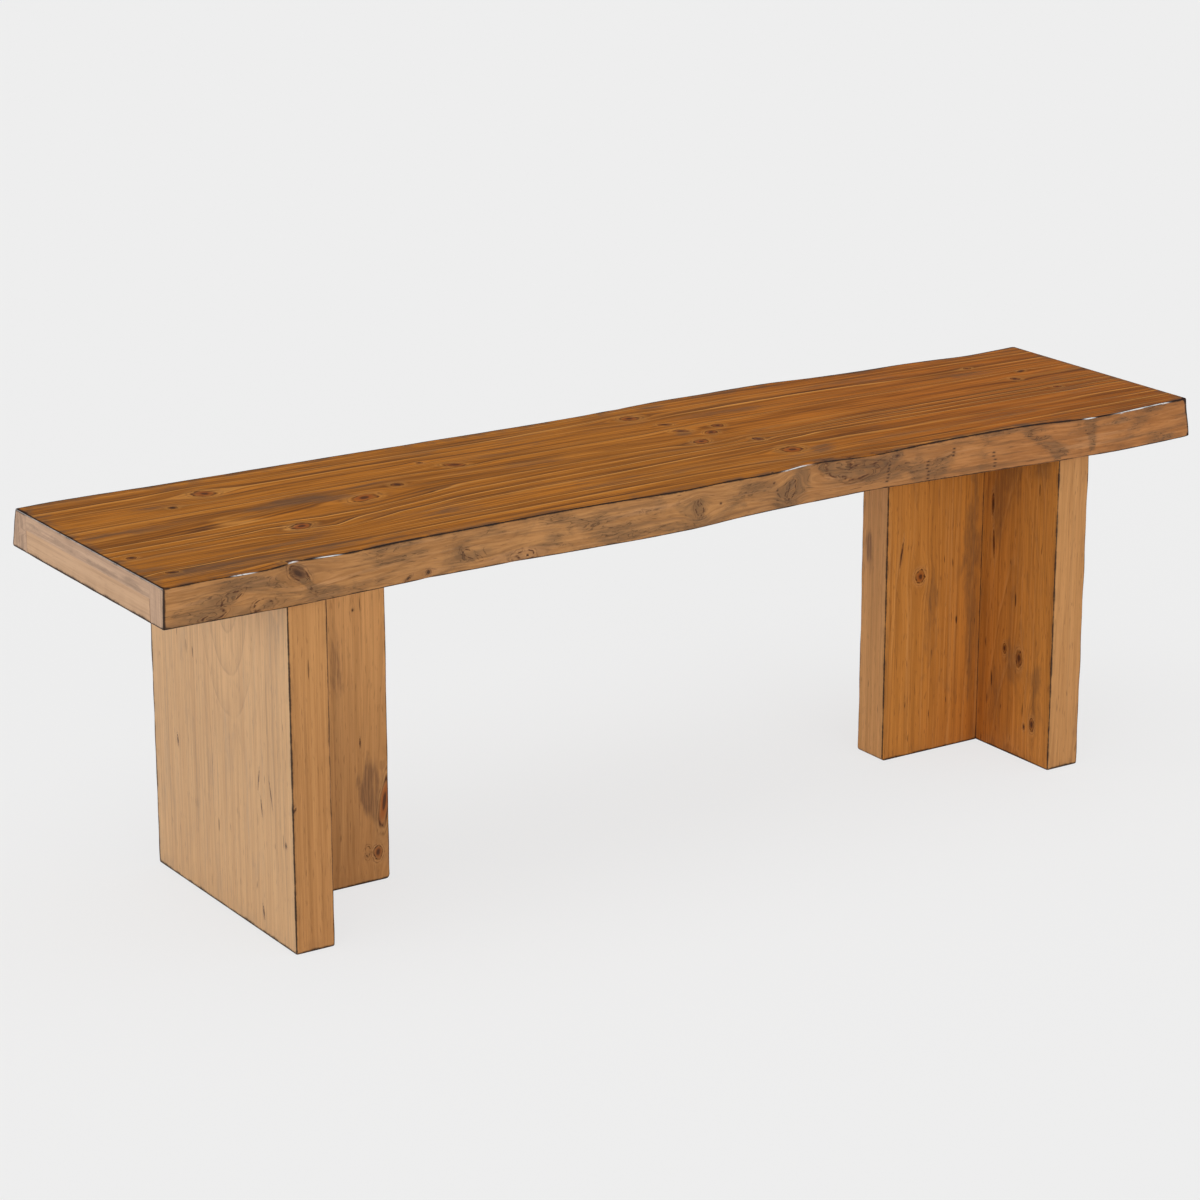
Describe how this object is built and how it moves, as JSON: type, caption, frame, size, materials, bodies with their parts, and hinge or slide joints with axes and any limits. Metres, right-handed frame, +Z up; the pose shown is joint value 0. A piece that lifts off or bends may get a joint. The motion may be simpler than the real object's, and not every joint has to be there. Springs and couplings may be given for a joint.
{
  "type": "rustic log bench",
  "caption": "Backless pine bench with a live-edge slab seat on T-shaped plank legs, stained honey brown with dark worn edges.",
  "frame": {"origin": "on the floor under the middle of the seat", "axes": "+X along the seat to the right, +Y to the back, +Z up; -Y is the front"},
  "size_m": [1.42, 0.38, 0.45],
  "materials": {
    "stained_pine": "satin honey-brown stain over knotty pine, near-black burnished arrises",
    "rail_pine": "thin honey-brown stain, unglazed",
    "beech_dowel": "plain beech",
    "zinc_steel": "bright zinc plate",
    "brass_insert": "plain brass"
  },
  "bodies": {
    "root": {"back_edge_dowels": "beech_dowel", "back_live_edge": "stained_pine", "front_edge_dowels": "beech_dowel", "front_live_edge": "stained_pine", "left_bolt_washers": "zinc_steel", "left_crossbar_screws": "zinc_steel", "left_end_cleat": "rail_pine", "left_end_cleat_screws": "zinc_steel", "left_leg_cleat": "rail_pine", "left_leg_crossbar": "stained_pine", "left_leg_dowels": "beech_dowel", "left_leg_web": "stained_pine", "left_seat_bolts": "zinc_steel", "left_threaded_inserts": "brass_insert", "left_web_screws": "zinc_steel", "middle_batten": "rail_pine", "middle_batten_screws": "zinc_steel", "right_bolt_washers": "zinc_steel", "right_crossbar_screws": "zinc_steel", "right_end_cleat": "rail_pine", "right_end_cleat_screws": "zinc_steel", "right_leg_cleat": "rail_pine", "right_leg_crossbar": "stained_pine", "right_leg_dowels": "beech_dowel", "right_leg_web": "stained_pine", "right_seat_bolts": "zinc_steel", "right_threaded_inserts": "brass_insert", "right_web_screws": "zinc_steel", "seat_board": "stained_pine"}
  },
  "joints": []
}
